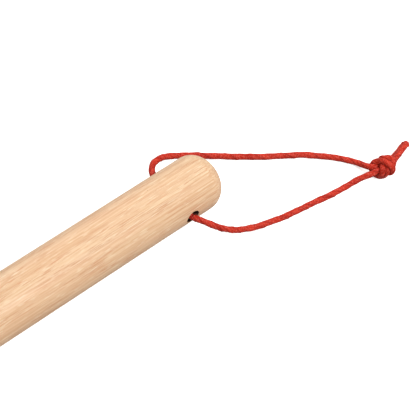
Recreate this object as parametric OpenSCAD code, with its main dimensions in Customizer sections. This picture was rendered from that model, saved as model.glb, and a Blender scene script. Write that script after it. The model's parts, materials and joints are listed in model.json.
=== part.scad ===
// Turned wooden handle for a garden hand tool, with a steel ferrule at the tool end
// and a knotted hanging cord through a cross hole near the round end.
// The handle lies on its side along X. The tool end is at x = 0 and the round end at +X.
// The origin is on the axis, in the mouth of the bore that takes the tool's tang.
// The surface that the handle lies on is at z = -handle_d / 2.

/* [Handle] */
// Diameter of the straight shaft
handle_d = 28; // [27.5:0.1:28.5]
// Overall length, from the ferrule's front to the round end
handle_length = 300; // [240:5:420]
// Radius of the round over on the round end's edge
end_round = 10; // [6:0.5:12]

/* [Cord hole] */
// Diameter of the cross hole
hole_d = 7; // [6.5:0.1:8]
// Distance from the round end's tip to the hole's centre
hole_from_end = 23.4; // [22:0.2:26]

/* [Ferrule] */
// Length of the ferrule and of its seat on the wood
ferrule_length = 32; // [24:1:38]
// Outside diameter of the ferrule's tube
ferrule_d = 24; // [23:0.5:25]
// Thickness of the ferrule's wall
ferrule_wall = 1; // [0.8:0.1:1.4]
// Radius of the round bead at each end of the ferrule
bead_r = 0.7; // [0.5:0.1:0.8]
// Diameter of the nails that hold the ferrule
nail_d = 2; // [1.6:0.1:2.4]

/* [Tang bore] */
// Diameter of the bore for the tang
tang_d = 8; // [6:0.5:9]
// Depth of the bore from the tool end
tang_depth = 60; // [50:1:80]

/* [Cord] */
// Diameter of the cord
cord_d = 2.7; // [2.4:0.1:2.9]
// Length of the knot along the cord
knot_length = 14; // [13:0.5:15]
// Diameter of the knot across the cord
knot_d = 12.2; // [11.6:0.2:12.8]

/* [Hidden] */
$fn = 96;

shaft_r = handle_d / 2;
seat_r = ferrule_d / 2 - ferrule_wall;
hole_x = handle_length - hole_from_end;

// The neck is an arc that leaves the straight shaft and ends level with the ferrule's bead
neck_r = ferrule_d / 2 + 0.6;
neck_length = 22;
neck_steps = 8;
neck_drop = shaft_r - neck_r;
neck_arc_r = (neck_length * neck_length + neck_drop * neck_drop) / (2 * neck_drop);

// The round end: an arc from the shaft to the small flat at the tip
end_steps = 15;

nail_x = ferrule_length / 2;
nail_head_d = 4;
nail_head_rise = 0.8;
nail_head_steps = 6;
nail_seat_r = ferrule_d / 2 - 0.2;
nail_tip_r = 6;

// Every cord point is measured from the centre of the cross hole, in millimetres.
// The near strand runs from the hole's -Y mouth to the knot, the far one from the +Y mouth.
near_strand = [
    [-1, -10, 0],
    [0, -14, 0],
    [2.5, -18, -0.5],
    [6.5, -22.5, -2.5],
    [11.5, -26, -5.5],
    [17.5, -28.2, -8.5],
    [24, -29.8, -11],
    [31, -31.4, -12.3],
    [38, -33, -12.6],
    [45, -34.6, -12.6],
    [52.5, -35.6, -12.6],
    [59.8, -36.7, -12.6],
    [66.8, -37.7, -12.6],
    [73.4, -38.7, -12.6],
    [80, -39.4, -12.6],
    [87, -39.6, -12.6],
    [93, -42, -9.8],
    [97.5, -43.6, -8.2]
];
far_strand = [
    [-1, 10, 0],
    [0, 14, 0],
    [2.5, 18, -0.5],
    [6.5, 21, -1.6],
    [12.5, 22.6, -4],
    [19, 22.2, -7],
    [25.5, 20.4, -9.5],
    [32, 17.6, -11.4],
    [37.5, 14.4, -12.4],
    [43, 10.4, -12.6],
    [48.5, 6.2, -12.6],
    [54, 2.2, -12.6],
    [60, -2, -12.6],
    [66, -5.8, -12.6],
    [72, -9.4, -12.6],
    [78, -13.4, -12.6],
    [83.5, -18, -12.6],
    [88.5, -22.6, -12.6],
    [93, -27.4, -12.6],
    [96, -32.4, -12],
    [98, -37.2, -10],
    [98.5, -41, -8.2]
];
cord_route = concat(reversed(near_strand), [[-1, 0, 0]], far_strand);

// The knot rests on the surface under the handle
knot_centre = [101.6, -44, knot_d / 2 - shaft_r];
knot_steps = 12;

// Two cut ends leave the knot side by side and lie one on the other
upper_tail = [[105.5, -44.6, -7.6], [110.6, -43.4, -9.6], [117.6, -41.5, -10], [124.2, -39.8, -10.2]];
lower_tail = [[105.5, -42.4, -9.6], [111.8, -41.3, -12.2], [119, -39.8, -12.6], [124.6, -38.4, -12.6]];

cord_sides = 8;

function reversed(list) = [for (i = [len(list) - 1:-1:0]) list[i]];
function unit(v) = v / norm(v);

// Direction of the path at point i, across its two neighbours
function heading(path, i) = unit(path[min(i + 1, len(path) - 1)] - path[max(i - 1, 0)]);

// One ring of the tube. The cord is never upright, so a level side vector always exists
function ring(centre, along, r) =
    let (side = unit(cross(along, [0, 0, 1])), rise = cross(side, along))
    [for (k = [0:cord_sides - 1])
        let (a = 360 * (k + 0.5) / cord_sides)
        centre + r * (cos(a) * side + sin(a) * rise)];

module tube(path, r) {
    rings = len(path);
    last = rings * cord_sides - 1;
    skin = [for (i = [0:rings - 1]) each ring(path[i], heading(path, i), r)];
    walls = [for (i = [0:rings - 2], k = [0:cord_sides - 1])
        let (a = i * cord_sides + k, b = i * cord_sides + (k + 1) % cord_sides)
        each [[a, b, b + cord_sides], [a, b + cord_sides, a + cord_sides]]];
    caps = [
        [for (k = [cord_sides - 1:-1:0]) k],
        [for (k = [0:cord_sides - 1]) last - cord_sides + 1 + k]
    ];
    polyhedron(points = skin, faces = concat(walls, caps));
}

// Half outline of the wood, with the radius along x and the length along y
module wood_outline() {
    neck = [for (i = [0:neck_steps])
        let (back = neck_length * (1 - i / neck_steps))
        [shaft_r - neck_arc_r + sqrt(pow(neck_arc_r, 2) - pow(back, 2)),
         ferrule_length + neck_length - back]];
    end = [for (i = [0:end_steps])
        let (a = 90 * i / end_steps)
        [shaft_r - end_round + end_round * cos(a), handle_length - end_round + end_round * sin(a)]];
    seat = [[0, 0], [seat_r, 0], [seat_r, ferrule_length]];
    polygon(concat(seat, neck, end, [[0, handle_length]]));
}

// A round-headed nail on the ferrule's +Y side, driven towards the axis until its head dents the tube
module nail() {
    head = [for (i = [0:nail_head_steps])
        let (a = 90 * i / nail_head_steps)
        [nail_head_d / 2 * cos(a), nail_seat_r + nail_head_rise * sin(a)]];
    shank = [[0, nail_tip_r], [nail_d / 2, nail_tip_r], [nail_d / 2, nail_seat_r]];
    translate([nail_x, 0, 0]) rotate_extrude($fn = 48) polygon(concat(shank, head));
}

module nail_holes() {
    translate([nail_x, 0, 0]) rotate([90, 0, 0]) difference() {
        cylinder(d = nail_d, h = 2 * ferrule_d, center = true);
        cylinder(d = 2 * nail_d, h = 2 * nail_tip_r, center = true);
    }
}

module handle() {
    color("burlywood") difference() {
        rotate([90, 0, 90]) rotate_extrude() wood_outline();
        translate([hole_x, 0, 0]) rotate([90, 0, 0]) cylinder(d = hole_d, h = 2 * handle_d, center = true);
        translate([-1, 0, 0]) rotate([0, 90, 0]) cylinder(d = tang_d, h = tang_depth + 1);
        nail_holes();
    }
}

module ferrule() {
    color("silver") difference() {
        rotate([90, 0, 90]) rotate_extrude() {
            translate([seat_r, 0]) square([ferrule_wall, ferrule_length]);
            for (y = [bead_r, ferrule_length - bead_r]) {
                translate([ferrule_d / 2 - 0.1, y]) circle(r = bead_r, $fn = 32);
            }
        }
        nail_holes();
    }
}

module ferrule_nails() {
    color("gray") for (turn = [-90, 90]) rotate([turn, 0, 0]) nail();
}

module cord_loop() {
    color("firebrick") translate([hole_x, 0, 0]) tube(cord_route, cord_d / 2);
}

// A plain barrel of the knot's outer size
module cord_knot() {
    barrel = [for (i = [0:knot_steps])
        let (a = 180 * i / knot_steps - 90)
        [knot_d / 2 * cos(a), knot_length / 2 * sin(a)]];
    color("firebrick") translate([hole_x, 0, 0] + knot_centre) rotate([90, 0, 90])
        rotate_extrude($fn = 48) polygon(barrel);
}

module cord_tails() {
    color("firebrick") translate([hole_x, 0, 0]) {
        tube(upper_tail, cord_d / 2);
        tube(lower_tail, cord_d / 2);
    }
}

handle();
ferrule();
ferrule_nails();
cord_loop();
cord_knot();
cord_tails();
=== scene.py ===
"""A turned wooden tool handle with a steel ferrule and a knotted red hanging cord, lying on a pale floor."""
import json
import math

import bmesh
import bpy
import numpy as np
from mathutils import Matrix, Vector


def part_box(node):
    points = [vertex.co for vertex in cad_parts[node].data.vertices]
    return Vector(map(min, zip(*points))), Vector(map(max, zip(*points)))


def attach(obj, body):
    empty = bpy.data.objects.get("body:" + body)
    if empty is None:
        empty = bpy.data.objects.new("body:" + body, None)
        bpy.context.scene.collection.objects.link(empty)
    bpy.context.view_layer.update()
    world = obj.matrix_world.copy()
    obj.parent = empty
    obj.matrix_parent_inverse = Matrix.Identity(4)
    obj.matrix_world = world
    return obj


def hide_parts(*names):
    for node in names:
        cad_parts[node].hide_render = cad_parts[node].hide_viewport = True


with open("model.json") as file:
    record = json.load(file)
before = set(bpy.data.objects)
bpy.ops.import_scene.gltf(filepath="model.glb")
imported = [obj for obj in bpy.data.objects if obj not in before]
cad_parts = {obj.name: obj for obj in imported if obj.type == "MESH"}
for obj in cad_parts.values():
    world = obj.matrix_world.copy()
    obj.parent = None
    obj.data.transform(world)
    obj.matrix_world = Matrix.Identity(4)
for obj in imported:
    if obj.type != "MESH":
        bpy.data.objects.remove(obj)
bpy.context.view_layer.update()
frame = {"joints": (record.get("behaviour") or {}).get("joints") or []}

MM = 0.001

# ---------------------------------------------------------------- places, from the frame
handle_low, handle_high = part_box("handle")
LENGTH = handle_high.x
SHAFT_R = handle_high.z
TIP = Vector((LENGTH, 0, 0))
FLOOR_Z = handle_low.z
HINGE = Vector(frame["joints"][0]["pos_m"])
CORD_D = 2.7 * MM

# ---------------------------------------------------------------- camera
AIM_FROM_TIP = Vector((-14.16, -14.16, 0)) * MM
CAMERA_DISTANCE = 0.8117
CAMERA_AZIMUTH = -55.44
CAMERA_ELEVATION = 53.28
CAMERA_ROLL = 16.06
CAMERA_LENS = 150.66


def make_camera():
    """The camera stands to the near side of the round end and above it, turned a little on its own axis."""
    data = bpy.data.cameras.new("camera")
    data.lens = CAMERA_LENS
    data.sensor_width = 36
    data.clip_start = 0.05
    data.clip_end = 20
    camera = bpy.data.objects.new("camera", data)
    bpy.context.scene.collection.objects.link(camera)
    a, e = math.radians(CAMERA_AZIMUTH), math.radians(CAMERA_ELEVATION)
    back = Vector((math.sin(a) * math.cos(e), -math.cos(a) * math.cos(e), math.sin(e)))
    level = (-back).to_track_quat("-Z", "Y").to_matrix()
    turned = level @ Matrix.Rotation(math.radians(CAMERA_ROLL), 3, "Z")
    place = TIP + AIM_FROM_TIP + back * CAMERA_DISTANCE
    camera.matrix_world = Matrix.Translation(place) @ turned.to_4x4()
    bpy.context.scene.camera = camera
    return camera


camera = make_camera()


# ---------------------------------------------------------------- meshes and paths
def add_mesh(name, verts, faces, smooth=True):
    mesh = bpy.data.meshes.new(name)
    mesh.from_pydata([tuple(v) for v in verts], [], [tuple(f) for f in faces])
    mesh.validate()
    mesh.update()
    if smooth:
        mesh.polygons.foreach_set("use_smooth", [True] * len(mesh.polygons))
    obj = bpy.data.objects.new(name, mesh)
    bpy.context.scene.collection.objects.link(obj)
    return obj


def unit(v):
    v = np.asarray(v, float)
    return v / np.linalg.norm(v)


def catmull(points, count):
    """A smooth curve through the points, with count steps between each two."""
    p = np.asarray(points, float)
    p = np.vstack([2 * p[0] - p[1], p, 2 * p[-1] - p[-2]])
    t = np.linspace(0, 1, count, endpoint=False)[:, None]
    out = []
    for i in range(1, len(p) - 2):
        a, b, c, d = p[i - 1 : i + 3]
        curve = 2 * b + (c - a) * t + (2 * a - 5 * b + 4 * c - d) * t**2 + (3 * b - 3 * c + d - a) * t**3
        out.append(0.5 * curve)
    return np.vstack(out + [p[-2][None]])


def lengths(points):
    return np.concatenate([[0], np.cumsum(np.linalg.norm(np.diff(points, axis=0), axis=1))])


def resample(points, step):
    s = lengths(points)
    q = np.linspace(0, s[-1], int(round(s[-1] / step)) + 1)
    return np.stack([np.interp(q, s, points[:, k]) for k in range(3)], 1)


# ---------------------------------------------------------------- the cord's route
# In millimetres from the hole's centre
NEAR_ROUTE = [
    (-1, 0, 0), (-1, -10, 0), (0, -14, 0), (2.5, -18, -0.5), (6.5, -22.5, -2.5), (11.5, -26, -5.5),
    (17.5, -28.2, -8.5), (24, -29.8, -11), (31, -31.4, -12.3), (38, -33, -12.6), (45, -34.6, -12.6),
    (52.5, -35.6, -12.6), (59.8, -36.7, -12.6), (66.8, -37.7, -12.6), (73.4, -38.7, -12.6),
    (80, -39.4, -12.6),
    (87, -39.6, -12.6), (93, -42, -9.8), (97.5, -43.6, -8.2),
]
FAR_ROUTE = [
    (-1, 0, 0), (-1, 10, 0), (0, 14, 0), (2.5, 18, -0.5), (6.5, 21, -1.6), (12.5, 22.6, -4), (19, 22.2, -7),
    (25.5, 20.4, -9.5), (32, 17.6, -11.4), (37.5, 14.4, -12.4), (43, 10.4, -12.6), (48.5, 6.2, -12.6),
    (54, 2.2, -12.6), (60, -2, -12.6), (66, -5.8, -12.6), (72, -9.4, -12.6), (78, -13.4, -12.6),
    (83.5, -18, -12.6), (88.5, -22.6, -12.6), (93, -27.4, -12.6), (96, -32.4, -12), (98, -37.2, -10),
    (98.5, -41, -8.2),
]
UPPER_TAIL = [(110.6, -43.4, -9.6), (117.6, -41.5, -10), (124.2, -39.8, -10.2)]
LOWER_TAIL = [(111.8, -41.3, -12.2), (119, -39.8, -12.6), (124.6, -38.4, -12.6)]
KNOT_CENTRE = np.array((101.6, -44.0, -7.6))

# ---------------------------------------------------------------- the knot
D = CORD_D / MM
R = D / 2
FLOOR = FLOOR_Z / MM + R
KNOT_STEP = 1.2

# An overhand knot laid out on a board, in cord diameters: along, across, up off the board
HAND_LAID = [
    (-14, 0, 0), (-9, 0, 0), (-5, 0, 0), (-2.6, -0.1, 0), (0, -0.4, 0), (2.6, 0.2, 0), (4.4, 2.2, 0),
    (3.6, 4.6, 0), (1, 5.6, 0.2), (-1.8, 4.6, 0.8), (-3.2, 2.2, 1.4), (-2.8, -0.4, 1.7), (-1.6, -2.4, 0.8),
    (-0.2, -2.2, -1.0), (0.4, -0.4, -1.8), (0.8, 1.4, -1.0), (1.8, 2.6, 0.6), (3.8, 2.8, 1.6),
    (6.5, 2.2, 1.2), (10, 1.2, 0.6), (14, 0.8, 0.2),
]
# The board faces the camera: its along, across and up directions are the camera's right, up and back
BOARD = np.array([(0.72775, -0.66560, 0.16539), (0.47741, 0.66478, 0.57459), (-0.49239, -0.33920, 0.80156)])
BOARD_ROLL = 58
BOARD_TILT = 22
# How far each strand lies to the side of the laid line, in cord diameters
STRAND_OFFSET = 0.52
PULL_FAR = (-9, 20, -2)
PULL_NEAR = (-23, 3.8, -3)
PULL_TAILS = (21.5, 4.1, -1.5)


def lay_knot():
    """The doubled cord lying loosely in its overhand knot: [far strand, near strand], in mm round 0."""
    path = resample(catmull(HAND_LAID, 24) * D, 0.3)
    along = np.gradient(path, axis=0)
    along /= np.linalg.norm(along, axis=1)[:, None]
    side = np.cross(along, (0, 0, 1.0))
    side /= np.linalg.norm(side, axis=1)[:, None]
    a, b = math.radians(BOARD_ROLL), math.radians(BOARD_TILT)
    roll = np.array([[1, 0, 0], [0, math.cos(a), -math.sin(a)], [0, math.sin(a), math.cos(a)]])
    tilt = np.array([[math.cos(b), -math.sin(b), 0], [math.sin(b), math.cos(b), 0], [0, 0, 1]])
    strands = [resample(path + sign * STRAND_OFFSET * D * side, KNOT_STEP) for sign in (1, -1)]
    return [(s * (1, 1, -1)) @ roll.T @ tilt.T @ BOARD for s in strands]


# How the beads of a pulled cord behave. Lengths are in millimetres
PULL_FORCE = 0.8
CALM_FORCE = 0.3
GLIDE = 0.9
CALM_GLIDE = 0.6
ROUNDS = 14
PUSH = 1.2
STIFFNESS = 0.03
LEAST_BEND_R = 2.2
SPARE_GAP = 0.6


def relax(strands, step, apart, steps, calm=0, pulls=None, held=0, floor=None):
    """Two strands as chains of beads that keep their spacing, bend no tighter than a cord and stay apart.

    pulls drags the four ends, in the order start, start, end, end. held beads at each start stay put.
    """
    counts = [len(s) for s in strands]
    x = np.concatenate(strands)
    total = len(x)
    strand = np.repeat([0, 1], counts)
    place = np.concatenate([np.arange(k) for k in counts])
    skip = int(np.ceil(1.4 * D / step))
    same = strand[:, None] == strand[None, :]
    may_touch = np.triu(~(same & (np.abs(place[:, None] - place[None, :]) <= skip)), 1)
    tips = [0, counts[0], counts[0] - 1, total - 1]
    links = np.concatenate([np.arange(0, counts[0] - 1), np.arange(counts[0], total - 1)])
    bends = np.concatenate([np.arange(0, counts[0] - 2), np.arange(counts[0], total - 2)])
    links = [links[place[links] % 2 == k] for k in (0, 1)]
    bends = [bends[place[bends] % 4 == k] for k in range(4)]
    widest = 2 * step * math.cos(step / (2 * LEAST_BEND_R))
    fixed = place < held
    start = x[fixed].copy()
    before = x.copy()
    for k in range(steps + calm):
        calming = k >= steps
        slowing = 0 if pulls is None else CALM_GLIDE if calming else GLIDE
        speed = (x - before) * slowing
        before = x.copy()
        x = x + speed
        if pulls is not None:
            for tip, pull in zip(tips, pulls):
                x[tip] += (PULL_FORCE * CALM_FORCE if calming else PULL_FORCE) * unit(pull)
        gap = np.sqrt(((x[:, None, :] - x[None, :, :]) ** 2).sum(2))
        one, two = np.nonzero(may_touch & (gap < apart + SPARE_GAP))
        for _ in range(ROUNDS):
            for s in links:
                v = x[s + 1] - x[s]
                size = np.linalg.norm(v, axis=1)
                move = ((size - step) / size * 0.5)[:, None] * v
                x[s] += move
                x[s + 1] -= move
            for s in bends:
                v = x[s + 2] - x[s]
                size = np.linalg.norm(v, axis=1)
                move = (np.minimum(size - widest, 0) / np.maximum(size, 1e-9) * 0.5)[:, None] * v
                x[s] += move
                x[s + 2] -= move
            v = x[one] - x[two]
            size = np.maximum(np.linalg.norm(v, axis=1), 1e-6)
            near = size < apart
            if near.any():
                a, b = one[near], two[near]
                move = ((apart - size[near]) / size[near] * 0.5)[:, None] * v[near]
                push = np.zeros_like(x)
                hits = np.zeros(total)
                np.add.at(push, a, move)
                np.add.at(push, b, -move)
                np.add.at(hits, a, 1)
                np.add.at(hits, b, 1)
                x += push / np.maximum(hits, 1)[:, None] * PUSH
            if floor is not None:
                x[:, 2] = np.maximum(x[:, 2], floor)
            x[fixed] = start
        middle = np.zeros_like(x)
        for a, b in ((0, counts[0]), (counts[0], total)):
            middle[a + 1 : b - 1] = (x[a : b - 2] + x[a + 2 : b]) / 2 - x[a + 1 : b - 1]
        x += STIFFNESS * middle
        x[fixed] = start
    return [x[: counts[0]], x[counts[0] :]]


def knot_middle(strands):
    """Where the beads lie thickest."""
    beads = np.concatenate(strands)
    gap = np.sqrt(((beads[:, None] - beads[None]) ** 2).sum(2))
    crowd = (gap < 2 * D).sum(1)
    weight = np.clip(crowd - np.percentile(crowd, 50), 0, None).astype(float)
    weight[weight < 0.3 * weight.max()] = 0
    return (beads * weight[:, None]).sum(0) / weight.sum()


# How far apart the middles of touching strands are kept, and how much of the knot and the routes is used
CONTACT = 2.5
KNOT_REACH = 7.0
ROUTE_REACH = 13.0
PULL_STEPS = 260
CALM_STEPS = 60
SETTLE_STEPS = 40
HELD_BEADS = 10
SINK = 0.1


def bridge(before, after, count):
    """Points of a smooth curve from the end of one path to the start of the next, in both directions."""
    a, b = np.asarray(before[-1], float), np.asarray(after[0], float)
    size = np.linalg.norm(b - a)
    leave = unit(a - np.asarray(before[-2], float)) * size
    arrive = unit(np.asarray(after[2], float) - b) * size
    t = np.linspace(0, 1, count + 2)[1:-1, None]
    return (
        (2 * t**3 - 3 * t**2 + 1) * a
        + (t**3 - 2 * t**2 + t) * leave
        + (3 * t**2 - 2 * t**3) * b
        + (t**3 - t**2) * arrive
    )


def cord_centrelines():
    """Both strands from the middle of the hole, through the knot, to their cut ends: [far, near], in mm."""
    pulls = [PULL_FAR, PULL_NEAR, PULL_TAILS, PULL_TAILS]
    steps = PULL_STEPS
    knot = relax(lay_knot(), KNOT_STEP, CONTACT, steps, calm=CALM_STEPS, pulls=pulls)
    middle = knot_middle(knot)
    knot = [s - middle for s in knot]
    inside = [s[np.linalg.norm(s, axis=1) < KNOT_REACH] for s in knot]
    lift = FLOOR - min(s[:, 2].min() for s in inside)
    at = np.array((KNOT_CENTRE[0], KNOT_CENTRE[1], lift - SINK))
    knot = [s + at for s in knot]
    leaving = []
    for s in knot:
        close = np.nonzero(np.linalg.norm(s - at, axis=1) < KNOT_REACH)[0]
        leaving.append(s[close.min() : close.max() + 1])
    tails = [UPPER_TAIL, LOWER_TAIL]
    if leaving[0][-1][2] < leaving[1][-1][2]:
        tails.reverse()
    paths = []
    for route, body, tail in zip((FAR_ROUTE, NEAR_ROUTE), leaving, tails):
        before = [p for p in route if np.linalg.norm(np.array(p) - at) > ROUTE_REACH]
        body = body[::2]
        path = np.array(before + list(bridge(before, body, 5)) + list(body) + list(tail), float)
        paths.append(resample(catmull(path, 12), KNOT_STEP))
    return relax(paths, KNOT_STEP, CONTACT, SETTLE_STEPS, held=HELD_BEADS, floor=FLOOR)


# ---------------------------------------------------------------- the cord's skin
# Length of one turn of the twisted strip, in millimetres, and how much it varies
PITCH = 14.5
PITCH_CHANGE = 0.22
# The strip stands a little proud of the cord's nominal size
FULLNESS = 1.16
RING_STEP = 0.35
# Shares of the cord's radius
EDGE_STEP = 0.062
EDGE_STEP_CHANGE = 0.03
SWELL = 0.028
OVAL = 0.035
CREASE_DEPTH = 0.14
# The last rings before the cut end flare out by this share
FRAY_RINGS = 4
FLARE = 0.16
# How near the knot the skin is pressed flat, and how far along itself the cord can't touch, in millimetres
PRESSED_REACH = 24
OWN_REACH = 3.6
# Angles round the twisted strip, closer together at its edge
FIRST_ANGLES = [0.0, 0.05, 0.16]
LAST_ANGLES = [2 * math.pi - 0.13, 2 * math.pi - 0.03]
AROUND = np.concatenate([FIRST_ANGLES, np.linspace(0.32, 2 * math.pi - 0.3, 29), LAST_ANGLES])


def slow_noise(rng, length, spacing):
    """A smooth random value of about -1 to 1 along the cord, that changes over the spacing."""
    knots = rng.uniform(-1, 1, int(length / spacing) + 4)
    curve = catmull(np.stack([np.arange(len(knots)) * spacing, knots, knots * 0], 1), 12)
    return lambda s: np.interp(s, curve[:, 0], curve[:, 1])


def frames(path):
    """Unit directions along the path and two across it, which turn no more than the path does."""
    along = np.gradient(path, axis=0)
    along /= np.linalg.norm(along, axis=1)[:, None]
    side = np.zeros_like(path)
    side[0] = unit(np.cross(along[0], (0, 0, 1)))
    for i in range(1, len(path)):
        v = side[i - 1] - along[i] * (side[i - 1] @ along[i])
        side[i] = v / np.linalg.norm(v)
    return along, side, np.cross(along, side)


def strip_skin(path, side, rise, seed, lumps):
    """Rings of points on the twisted strip round the path, and how deep each lies in a crease (0 to 1)."""
    rng = np.random.default_rng(seed)
    s = lengths(path)
    total = s[-1]
    pace = slow_noise(rng, total, 11)
    turn = np.cumsum(2 * math.pi / (PITCH * (1 + PITCH_CHANGE * pace(s)))) * RING_STEP + rng.uniform(0, 6)
    swell = slow_noise(rng, total, 4)
    edge = slow_noise(rng, total, 9)
    creases = []
    for _ in range(lumps):
        where, width = rng.uniform(0.5, 5.8), rng.uniform(0.10, 0.22)
        creases.append((where, width, slow_noise(rng, total, 7), slow_noise(rng, total, 5)))
    phi = AROUND
    ring = np.empty((len(path), len(phi)))
    groove = np.empty((len(path), len(phi)))
    for i, at in enumerate(s):
        step_up = EDGE_STEP + EDGE_STEP_CHANGE * edge(at)
        r = 1 + SWELL * swell(at) + step_up * (0.5 - phi / (2 * math.pi)) * 2
        r = r + OVAL * np.cos(2 * phi + 0.7)
        dent = 0
        for where, width, shift, depth in creases:
            away = phi - where - 0.5 * shift(at)
            dent = np.maximum(dent, (0.5 + 0.5 * depth(at)) * np.exp(-((away / width) ** 2)))
        ring[i] = (r - CREASE_DEPTH * dent) * R * FULLNESS
        groove[i] = dent
    theta = turn[:, None] + phi[None, :]
    out = np.cos(theta)[:, :, None] * side[:, None, :] + np.sin(theta)[:, :, None] * rise[:, None, :]
    return path[:, None, :] + ring[:, :, None] * out, groove


def press_flat(skin, path, other):
    """Near the knot, flattens the skin halfway to whatever part of the cord lies against it."""
    own = np.arange(len(path))
    for i in np.nonzero(np.linalg.norm(path - KNOT_CENTRE, axis=1) < PRESSED_REACH)[0]:
        far_enough = np.abs(own - i) * RING_STEP > OWN_REACH
        rivals = np.vstack([path[far_enough], other])
        rivals = rivals[np.linalg.norm(rivals - path[i], axis=1) < 2.4 * D]
        if not len(rivals):
            continue
        for _ in range(2):
            gap = np.linalg.norm(skin[i][:, None, :] - rivals[None], axis=2)
            nearest = rivals[gap.argmin(1)]
            v = nearest - path[i]
            size = np.linalg.norm(v, axis=1)
            reach = skin[i] - path[i]
            towards = (reach * v).sum(1) / size
            most = size / 2 - 0.02
            over = towards > most
            scale = np.where(over, most / np.maximum(towards, 1e-6), 1)
            skin[i] = path[i] + reach * scale[:, None]


def fray_end(skin, path, along):
    """Makes the cut end a little ragged and flared."""
    phi = AROUND
    notch = np.exp(-(((phi - 2.2) / 0.4) ** 2))
    fray = 0.2 * np.cos(phi - 0.6) + 0.15 * np.cos(3 * phi + 1.0) - 0.5 * notch
    for back in range(FRAY_RINGS):
        share = 1 - back / FRAY_RINGS
        skin[-1 - back] += (along[-1] * fray[:, None]) * share
        skin[-1 - back] += (skin[-1 - back] - path[-1 - back]) * FLARE * share


def close_end(verts, faces, uv, base, centre, inwards, flip):
    """Closes the ring of points that starts at base with a shallow uneven hollow."""
    n = len(AROUND)
    turns = np.append(AROUND, 2 * math.pi) / (2 * math.pi)

    def add_face(face, corners):
        faces.append(face[::-1] if flip else face)
        uv.append(corners)

    rim = list(range(base, base + n))
    for share, sink in ((0.72, 0.12), (0.4, 0.3), (0.15, 0.2)):
        first = len(verts)
        for k in range(n):
            deep = sink + 0.12 * math.sin(5 * AROUND[k] + 9 * share)
            verts.append(centre + (verts[base + k] - centre) * share + inwards * deep)
        new = list(range(first, first + n))
        for k in range(n):
            j = (k + 1) % n
            outer = ((turns[k], share * 3), (turns[k + 1], share * 3))
            add_face((rim[k], rim[j], new[j], new[k]), (*outer, (turns[k + 1], share), (turns[k], share)))
        rim = new
    verts.append(centre + inwards * 0.2)
    for k in range(n):
        add_face((rim[k], rim[(k + 1) % n], len(verts) - 1), ((turns[k], 0.1), (turns[k + 1], 0.1), (0.5, 0)))


def skin_cord(name, path, other, seed, lumps):
    """A twisted, rolled strip round the path, pressed flat where it lies on the cord or the floor."""
    path = resample(catmull(path, 6), RING_STEP)
    other = resample(catmull(other, 6), RING_STEP)
    s = lengths(path)
    along, side, rise = frames(path)
    skin, groove = strip_skin(path, side, rise, seed, lumps)
    press_flat(skin, path, other)
    fray_end(skin, path, along)
    skin[:, :, 2] = np.maximum(skin[:, :, 2], FLOOR_Z / MM + 0.02)

    verts = list(skin.reshape(-1, 3))
    n = len(AROUND)
    turns = np.append(AROUND, 2 * math.pi) / (2 * math.pi)
    faces = []
    uv = []
    for i in range(len(path) - 1):
        for k in range(n):
            j = (k + 1) % n
            faces.append((i * n + k, i * n + j, (i + 1) * n + j, (i + 1) * n + k))
            here, there = s[i], s[i + 1]
            uv.append(((turns[k], here), (turns[k + 1], here), (turns[k + 1], there), (turns[k], there)))
    close_end(verts, faces, uv, (len(path) - 1) * n, skin[-1].mean(0), -along[-1], False)
    close_end(verts, faces, uv, 0, path[0], along[0] * 0, True)

    centre = HINGE / MM
    obj = add_mesh(name, [(Vector(v) + centre) * MM for v in verts], faces)
    deep = obj.data.attributes.new("groove", "FLOAT", "POINT")
    deep.data.foreach_set("value", np.concatenate([groove.ravel(), np.zeros(len(verts) - groove.size)]))
    layer = obj.data.uv_layers.new(name="twist")
    layer.data.foreach_set("uv", np.array([c for face in uv for c in face], float).ravel())
    obj.data.set_sharp_from_angle(angle=math.radians(60))
    line = list(path[:-2:2]) + [path[-1]]
    return obj, [(Vector(p) + centre) * MM for p in line]


far_path, near_path = cord_centrelines()
near_strand, near_line = skin_cord("cord_near_strand", near_path, far_path, 11, 7)
far_strand, far_line = skin_cord("cord_far_strand", far_path, near_path, 23, 4)


def declare(strand):
    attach(strand, "cord")
    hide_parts("cord_loop", "cord_knot", "cord_tails")


declare(near_strand)
declare(far_strand)


# ---------------------------------------------------------------- the wood
def lathe(name, outline, sides):
    """A closed turned solid round the X axis. The outline of (x, r) ends on the axis or closes on itself."""
    verts, faces, rows = [], [], []
    for x, r in outline:
        if r < 1e-9:
            rows.append([len(verts)])
            verts.append((x, 0, 0))
            continue
        rows.append(list(range(len(verts), len(verts) + sides)))
        for k in range(sides):
            a = 2 * math.pi * k / sides
            verts.append((x, r * math.cos(a), r * math.sin(a)))
    pairs = list(zip(rows, rows[1:]))
    if len(rows[0]) > 1:
        pairs.append((rows[-1], rows[0]))
    for one, two in pairs:
        for k in range(sides):
            j = (k + 1) % sides
            if len(one) == 1:
                faces.append((one[0], two[j], two[k]))
            elif len(two) == 1:
                faces.append((one[k], one[j], two[0]))
            else:
                faces.append((one[k], one[j], two[j], two[k]))
    obj = add_mesh(name, verts, faces)
    tidy_mesh(obj)
    return obj


def tidy_mesh(obj):
    mesh = bmesh.new()
    mesh.from_mesh(obj.data)
    bmesh.ops.remove_doubles(mesh, verts=mesh.verts, dist=1e-7)
    bmesh.ops.recalc_face_normals(mesh, faces=mesh.faces)
    mesh.to_mesh(obj.data)
    mesh.free()


FERRULE_LENGTH = 32 * MM
SEAT_R = 11 * MM
NECK_R = 12.6 * MM
NECK_LENGTH = 22 * MM
END_ROUND = 10 * MM
TANG_R = 4 * MM
TANG_DEPTH = 60 * MM
DRILL_POINT = 1.5 * MM
BORE_EASE = 0.5 * MM
SEAT_EASE = 0.4 * MM
NECK_STEPS = 18
END_STEPS = 32
SHAFT_STEP = 1.6 * MM


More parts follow.
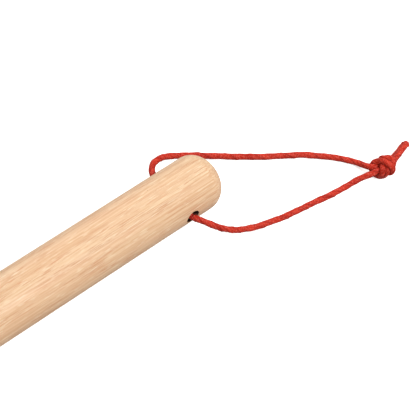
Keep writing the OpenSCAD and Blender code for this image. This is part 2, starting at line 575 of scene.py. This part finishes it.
def wood_outline():
    """Half of the wood's outline: bore with drill point, seat, neck, shaft and round end."""
    points = [(TANG_DEPTH + DRILL_POINT, 0), (TANG_DEPTH, TANG_R)]
    points += [(x * MM, TANG_R) for x in range(56, 0, -4)]
    points += [(BORE_EASE, TANG_R), (0, TANG_R + BORE_EASE), (0, SEAT_R - SEAT_EASE), (SEAT_EASE, SEAT_R)]
    points += [(x * MM, SEAT_R) for x in range(4, 30, 4)]
    points += [(FERRULE_LENGTH - 0.05 * MM, SEAT_R), (FERRULE_LENGTH, SEAT_R)]
    points.append((FERRULE_LENGTH, NECK_R - 0.35 * MM))
    drop = SHAFT_R - NECK_R
    arc_r = (NECK_LENGTH**2 + drop**2) / (2 * drop)
    for i in range(NECK_STEPS + 1):
        back = NECK_LENGTH * (1 - i / NECK_STEPS)
        x = FERRULE_LENGTH + NECK_LENGTH - back
        r = SHAFT_R - arc_r + math.sqrt(arc_r**2 - back**2)
        points.append((x + (0.3 * MM if i == 0 else 0), r))
    start = FERRULE_LENGTH + NECK_LENGTH
    stop = LENGTH - END_ROUND
    count = int((stop - start) / SHAFT_STEP)
    points += [(start + (stop - start) * i / count, SHAFT_R) for i in range(1, count)]
    flat = SHAFT_R - END_ROUND
    for i in range(END_STEPS + 1):
        a = math.radians(90) * i / END_STEPS
        points.append((stop + END_ROUND * math.sin(a), flat + END_ROUND * math.cos(a)))
    points += [(LENGTH, flat * share) for share in (0.75, 0.5, 0.25)]
    points.append((LENGTH, 0))
    return points


# The cross hole's mouth: radius and depth under the shaft's surface, in millimetres, down to the 3.5 mm bore
HOLE_MOUTH = [(4.3, -0.42), (3.85, 0.0), (3.64, 0.16), (3.5, 0.42)]


def hole_cutter():
    """The drill's path across the handle, eased open at both mouths to follow the round shaft."""
    sides = 72
    hole_x = HINGE.x
    levels = [(rho * MM, depth * MM, -1) for rho, depth in HOLE_MOUTH]
    levels += [(rho * MM, depth * MM, 1) for rho, depth in reversed(HOLE_MOUTH)]
    verts, faces = [], []
    for rho, depth, sign in levels:
        for k in range(sides):
            a = 2 * math.pi * k / sides
            z = rho * math.sin(a)
            y = math.sqrt(SHAFT_R**2 - z**2) - depth
            verts.append((hole_x + rho * math.cos(a), sign * y, z))
    for i in range(len(levels) - 1):
        for k in range(sides):
            j = (k + 1) % sides
            faces.append((i * sides + k, i * sides + j, (i + 1) * sides + j, (i + 1) * sides + k))
    far = (len(levels) - 1) * sides
    faces.append(tuple(range(sides)))
    faces.append(tuple(range(far, far + sides)))
    obj = add_mesh("hole_cutter", verts, faces, smooth=False)
    tidy_mesh(obj)
    return obj


def applied(obj):
    """Makes obj's modifiers part of its mesh."""
    deps = bpy.context.evaluated_depsgraph_get()
    done = bpy.data.meshes.new_from_object(obj.evaluated_get(deps))
    old = obj.data
    obj.modifiers.clear()
    obj.data = done
    done.name = obj.name
    bpy.data.meshes.remove(old)


def make_wood():
    obj = lathe("wood_handle", wood_outline(), 176)
    cutter = hole_cutter()
    cut = obj.modifiers.new("hole", "BOOLEAN")
    cut.object = cutter
    cut.operation = "DIFFERENCE"
    cut.solver = "EXACT"
    bpy.context.view_layer.update()
    applied(obj)
    bpy.data.objects.remove(cutter)
    obj.data.polygons.foreach_set("use_smooth", [True] * len(obj.data.polygons))
    obj.data.set_sharp_from_angle(angle=math.radians(32))
    even = obj.modifiers.new("even", "WEIGHTED_NORMAL")
    even.keep_sharp = True
    applied(obj)
    return obj


# ---------------------------------------------------------------- the ferrule and its nails
FERRULE_R = 12 * MM
BEAD_R = 0.7 * MM
BEAD_MIDDLE_R = 11.9 * MM


def ferrule_outline():
    points = [(0.25 * MM, SEAT_R), (0, SEAT_R + 0.25 * MM)]
    for i in range(1, 14):
        a = math.radians(180 - 160 * i / 14)
        points.append((BEAD_R + BEAD_R * math.cos(a), BEAD_MIDDLE_R + BEAD_R * math.sin(a)))
    count = 20
    first, last = 1.55 * MM, FERRULE_LENGTH - 1.55 * MM
    points += [(first + (last - first) * i / count, FERRULE_R) for i in range(count + 1)]
    for i in range(13, 0, -1):
        a = math.radians(180 - 160 * i / 14)
        points.append((FERRULE_LENGTH - BEAD_R - BEAD_R * math.cos(a), BEAD_MIDDLE_R + BEAD_R * math.sin(a)))
    points += [(FERRULE_LENGTH, SEAT_R + 0.25 * MM), (FERRULE_LENGTH - 0.25 * MM, SEAT_R)]
    return points


def make_ferrule():
    obj = lathe("steel_ferrule", ferrule_outline(), 144)
    obj.data.set_sharp_from_angle(angle=math.radians(40))
    return obj


NAIL_X = 16 * MM
NAIL_HEAD_R = 2 * MM
NAIL_SEAT_R = 11.8 * MM
NAIL_HEAD_RISE = 0.8 * MM
NAIL_R = 1 * MM
NAIL_TIP_R = 6 * MM


def make_nails():
    """Two domed nail heads, each a little flattened by the hammer, with their shanks in the wood."""
    outline = [(NAIL_TIP_R, 0), (NAIL_TIP_R + 1.5 * MM, NAIL_R)]
    outline += [(NAIL_SEAT_R - 0.05 * MM, NAIL_R), (NAIL_SEAT_R - 0.05 * MM, NAIL_HEAD_R - 0.15 * MM)]
    for i in range(0, 12):
        a = math.radians(90) * i / 12
        rise = NAIL_HEAD_RISE * min(math.sin(a), 0.93 + 0.07 * math.sin(a))
        outline.append((NAIL_SEAT_R + rise, NAIL_HEAD_R * math.cos(a)))
    outline.append((NAIL_SEAT_R + NAIL_HEAD_RISE, 0))
    made = []
    for name, turn in (("ferrule_nail_near", -90), ("ferrule_nail_far", 90)):
        obj = lathe(name, outline, 40)
        spin = Matrix.Rotation(math.radians(turn), 4, "Z")
        obj.data.transform(Matrix.Translation((NAIL_X, 0, 0)) @ spin)
        obj.data.set_sharp_from_angle(angle=math.radians(50))
        made.append(obj)
    return made


# ---------------------------------------------------------------- materials
class Look:
    """A procedural material that is built one node at a time."""

    def __init__(self, name):
        self.material = bpy.data.materials.new(name)
        self.material.use_nodes = True
        self.tree = self.material.node_tree
        self.shader = self.tree.nodes["Principled BSDF"]

    def put(self, node, key, value):
        socket = node.inputs[key]
        if hasattr(value, "links"):
            self.tree.links.new(value, socket)
        else:
            socket.default_value = value

    def node(self, kind, settings=(), **values):
        made = self.tree.nodes.new("ShaderNode" + kind)
        for key, value in dict(settings).items():
            setattr(made, key, value)
        for key, value in values.items():
            self.put(made, key.replace("_", " "), value)
        return made

    def scaled(self, vector, scale, offset=(0, 0, 0)):
        made = self.node("Mapping", Location=offset, Scale=scale)
        self.put(made, "Vector", vector)
        return made.outputs["Vector"]

    def noise(self, vector, scale=1.0, detail=2.0, rough=0.5, distortion=0.0):
        made = self.node(
            "TexNoise", Vector=vector, Scale=scale, Detail=detail, Roughness=rough, Distortion=distortion
        )
        return made.outputs["Fac"]

    def ramp(self, value, *stops, ease="LINEAR"):
        made = self.node("ValToRGB", Fac=value)
        bar = made.color_ramp
        bar.interpolation = ease
        while len(bar.elements) < len(stops):
            bar.elements.new(0.5)
        for element, (at, colour) in zip(bar.elements, stops):
            element.position = at
        for element, (at, colour) in zip(bar.elements, stops):
            element.color = (*colour, 1) if hasattr(colour, "__len__") else (colour, colour, colour, 1)
        return made.outputs["Color"]

    def mix(self, share, one, two, how="MIX"):
        made = self.node("Mix", {"data_type": "RGBA", "blend_type": how})
        for socket, value in ((made.inputs[0], share), (made.inputs[6], one), (made.inputs[7], two)):
            if hasattr(value, "links"):
                self.tree.links.new(value, socket)
            elif hasattr(value, "__len__"):
                socket.default_value = (*value, 1)
            else:
                socket.default_value = value
        return made.outputs[2]

    def math(self, how, one, two=0.0, clamp=False):
        made = self.node("Math", {"operation": how, "use_clamp": clamp})
        self.put(made, 0, one)
        self.put(made, 1, two)
        return made.outputs[0]

    def bump(self, height, distance, strength=1.0, before=None):
        made = self.node("Bump", Height=height, Distance=distance, Strength=strength)
        if before is not None:
            self.put(made, "Normal", before)
        return made.outputs["Normal"]


def wood_look():
    look = Look("pale_turned_wood")
    place = look.node("TexCoord").outputs["Object"]
    # Growth rings round a pith that runs beside the handle
    pith = look.scaled(place, (55, 1000, 1000), (0, 31, 47))
    rings = look.node(
        "TexWave", {"wave_type": "RINGS", "rings_direction": "X", "wave_profile": "SAW"},
        Vector=pith, Scale=0.082, Distortion=5.5, Detail=3.0, Detail_Scale=0.16, Detail_Roughness=0.55,
    )
    ring = look.ramp(
        rings.outputs["Fac"],
        (0.0, (0.71, 0.48, 0.29)),
        (0.55, (0.69, 0.455, 0.27)),
        (0.88, (0.60, 0.37, 0.205)),
        (1.0, (0.67, 0.43, 0.25)),
    )
    # Broad warm and pale areas
    area = look.noise(look.scaled(place, (9, 90, 90)), 1.0, 2.0)
    warm = look.ramp(area, (0.35, 0.0), (0.68, 1.0))
    base = look.mix(warm, (0.73, 0.545, 0.36), (0.73, 0.475, 0.305))
    base = look.mix(0.45, base, ring)
    # Lines along the grain
    lines = look.noise(look.scaled(place, (13, 1300, 1300)), 1.0, 2.0, 0.6)
    line = look.ramp(lines, (0.44, 0.0), (0.62, 0.80))
    base = look.mix(line, base, (0.61, 0.365, 0.205))
    # Pores: short open streaks along the grain, dots where the round end cuts across them
    pores = look.noise(look.scaled(place, (85, 2200, 2200)), 1.0, 1.0, 0.5)
    pore = look.ramp(pores, (0.55, 0.0), (0.62, 1.0))
    patches = look.noise(look.scaled(place, (30, 260, 260), (4, 9, 2)), 1.0, 1.0)
    patch = look.ramp(patches, (0.36, 0.25), (0.6, 1.0))
    pore = look.mix(1.0, pore, patch, "MULTIPLY")
    base = look.mix(look.math("MULTIPLY", pore, 0.68), base, (0.55, 0.25, 0.13))
    # Painted highlight: pale flecks stand in for glints off the pores
    pore_glints = look.noise(look.scaled(place, (160, 1500, 1500), (7, 2, 5)), 1.0, 1.0, 0.5)
    pale = look.ramp(pore_glints, (0.60, 0.0), (0.68, 0.4))
    base = look.mix(pale, base, (0.84, 0.69, 0.49))
    # A few dark specks
    spots = look.scaled(place, (75, 95, 95), (3, 1, 7))
    specks = look.node("TexVoronoi", Vector=spots, Scale=1.0, Randomness=1.0)
    speck = look.ramp(specks.outputs["Distance"], (0.018, 1.0), (0.034, 0.0))
    base = look.mix(look.math("MULTIPLY", speck, 0.7), base, (0.22, 0.12, 0.06))
    # Painted shade: the inside of the drilled hole is painted near black
    parts = look.node("SeparateXYZ", Vector=place)
    along = look.math("SUBTRACT", parts.outputs["X"], HINGE.x)
    away = look.node("CombineXYZ", X=along, Y=0.0, Z=parts.outputs["Z"])
    reach = look.node("VectorMath", {"operation": "LENGTH"})
    look.put(reach, 0, away.outputs[0])
    inside = look.ramp(look.math("MULTIPLY", reach.outputs["Value"], 100.0), (0.353, 1.0), (0.374, 0.0))
    base = look.mix(inside, base, (0.055, 0.020, 0.010))
    look.put(look.shader, "Base Color", base)
    rough = look.ramp(pore, (0.0, 0.36), (1.0, 0.60))
    look.put(look.shader, "Roughness", look.mix(inside, rough, (0.85, 0.85, 0.85)))
    look.put(look.shader, "Specular IOR Level", 0.32)
    fine = look.bump(look.noise(look.scaled(place, (200, 4200, 4200)), 1.0, 1.0), 0.00004, 0.5)
    look.put(look.shader, "Normal", look.bump(look.math("MULTIPLY", pore, -1.0), 0.00010, 0.7, fine))
    return look.material


def cord_look():
    look = Look("red_twisted_cord")
    twist = look.node("UVMap", {"uv_map": "twist"}).outputs["UV"]
    parts = look.node("SeparateXYZ", Vector=twist)
    fine = look.noise(look.scaled(twist, (26, 0.35, 1)), 1.0, 3.0, 0.6)
    broad = look.noise(look.scaled(twist, (7, 0.12, 1), (5, 3, 0)), 1.0, 2.0)
    wrinkle_and_highlight = look.noise(look.scaled(twist, (9, 2.2, 1), (2, 8, 0)), 1.0, 3.0, 0.6)
    groove = look.node("Attribute", {"attribute_name": "groove"}).outputs["Fac"]
    base = look.mix(look.ramp(broad, (0.3, 0.0), (0.7, 1.0)), (0.57, 0.036, 0.015), (0.36, 0.009, 0.003))
    base = look.mix(look.ramp(fine, (0.50, 0.0), (0.72, 0.6)), base, (0.30, 0.007, 0.003))
    # Painted highlight: pale pink patches where the wrinkles lie, the same pattern that bumps them
    base = look.mix(look.ramp(wrinkle_and_highlight, (0.5, 0.0), (0.70, 0.6)), base, (0.92, 0.21, 0.16))
    # Painted shade: the strip's creases are painted dark
    base = look.mix(look.ramp(groove, (0.3, 0.0), (0.95, 0.6)), base, (0.17, 0.004, 0.002))
    # Painted shade: the step at the strip's free edge is painted as a darker line
    stops = ((0.0, 0.6), (0.02, 0.45), (0.06, 0.0), (0.94, 0.0), (0.985, 0.5), (1.0, 0.65))
    edge = look.ramp(parts.outputs["X"], *stops)
    edge = look.math("MULTIPLY", edge, look.ramp(broad, (0.35, 0.35), (0.6, 1.0)))
    base = look.mix(edge, base, (0.14, 0.003, 0.0015))
    look.put(look.shader, "Base Color", base)
    look.put(look.shader, "Roughness", look.ramp(fine, (0.3, 0.34), (0.7, 0.55)))
    look.put(look.shader, "Specular IOR Level", 0.10)
    grain = look.bump(wrinkle_and_highlight, 0.00010, 0.5)
    look.put(look.shader, "Normal", look.bump(fine, 0.00028, 0.8, grain))
    return look.material


def steel_look(name, tint, rough, across):
    look = Look(name)
    place = look.node("TexCoord").outputs["Object"]
    lines = look.noise(look.scaled(place, across), 1.0, 3.0, 0.65)
    cloud = look.noise(look.scaled(place, (160, 160, 160), (2, 5, 1)), 1.0, 3.0)
    shade = look.ramp(lines, (0.3, tuple(0.84 * c for c in tint)), (0.7, tint))
    shade = look.mix(look.ramp(cloud, (0.45, 0.0), (0.75, 0.35)), shade, tuple(0.7 * c for c in tint))
    look.put(look.shader, "Base Color", shade)
    look.put(look.shader, "Metallic", 1.0)
    look.put(look.shader, "Roughness", look.ramp(lines, (0.3, rough), (0.7, rough + 0.14)))
    look.put(look.shader, "Normal", look.bump(lines, 0.00002, 0.6, look.bump(cloud, 0.00006, 0.3)))
    return look.material


def floor_look():
    look = Look("pale_floor")
    place = look.node("TexCoord").outputs["Object"]
    mottle = look.noise(look.scaled(place, (3, 3, 3)), 1.0, 2.0)
    pale = look.ramp(mottle, (0.3, 0.93), (0.7, 0.95))
    seen = look.node("LightPath").outputs["Is Camera Ray"]
    look.put(look.shader, "Base Color", look.mix(seen, (0.42, 0.42, 0.42), pale))
    look.put(look.shader, "Emission Color", (1, 1, 1, 1))
    look.put(look.shader, "Emission Strength", look.math("MULTIPLY", seen, 0.6))
    look.put(look.shader, "Roughness", 0.9)
    look.put(look.shader, "Specular IOR Level", 0.2)
    return look.material


wood = make_wood()
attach(wood, "handle")
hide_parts("handle")
wood.data.materials.clear()
wood.data.materials.append(wood_look())

ferrule = make_ferrule()
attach(ferrule, "handle")
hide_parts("ferrule")
ferrule.data.materials.append(steel_look("brushed_ferrule_steel", (0.66, 0.66, 0.67), 0.24, (9000, 260, 260)))

nail_steel = steel_look("nail_head_steel", (0.56, 0.55, 0.54), 0.34, (1400, 1400, 1400))
for nail in make_nails():
    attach(nail, "handle")
    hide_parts("ferrule_nails")
    nail.data.materials.append(nail_steel)

cord_red = cord_look()
for strand in (near_strand, far_strand):
    strand.data.materials.append(cord_red)


# ---------------------------------------------------------------- floor and light
FLOOR_REACH = 8.0
WORLD_LIGHT = 0.46
WORLD_TINT = (1, 0.965, 0.90, 1)


def make_floor():
    corners = [(x * FLOOR_REACH, y * FLOOR_REACH, FLOOR_Z) for x, y in ((-1, -1), (1, -1), (1, 1), (-1, 1))]
    floor = add_mesh("floor", corners, [(0, 1, 2, 3)], smooth=False)
    floor.data.materials.append(floor_look())
    return floor


def add_softbox(name, towards, distance, size, power):
    """A round area light at a distance from the cross hole that shines on it."""
    data = bpy.data.lights.new(name, "AREA")
    data.shape = "DISK"
    data.size = size
    data.energy = power
    light = bpy.data.objects.new(name, data)
    direction = Vector(towards).normalized()
    light.location = HINGE + direction * distance
    light.rotation_euler = direction.to_track_quat("Z", "Y").to_euler()
    bpy.context.scene.collection.objects.link(light)
    return light


make_floor()
world = bpy.data.worlds.new("studio")
world.use_nodes = True
world.node_tree.nodes["Background"].inputs["Color"].default_value = WORLD_TINT
world.node_tree.nodes["Background"].inputs["Strength"].default_value = WORLD_LIGHT
bpy.context.scene.world = world
add_softbox("key", (0.10, -0.50, 0.80), 1.4, 0.7, 16)
add_softbox("top", (0.49, 0.30, 0.80), 1.4, 0.45, 3)
add_softbox("back", (0.05, 0.90, 0.45), 1.5, 1.0, 10)
bpy.context.scene.view_settings.view_transform = "Standard"
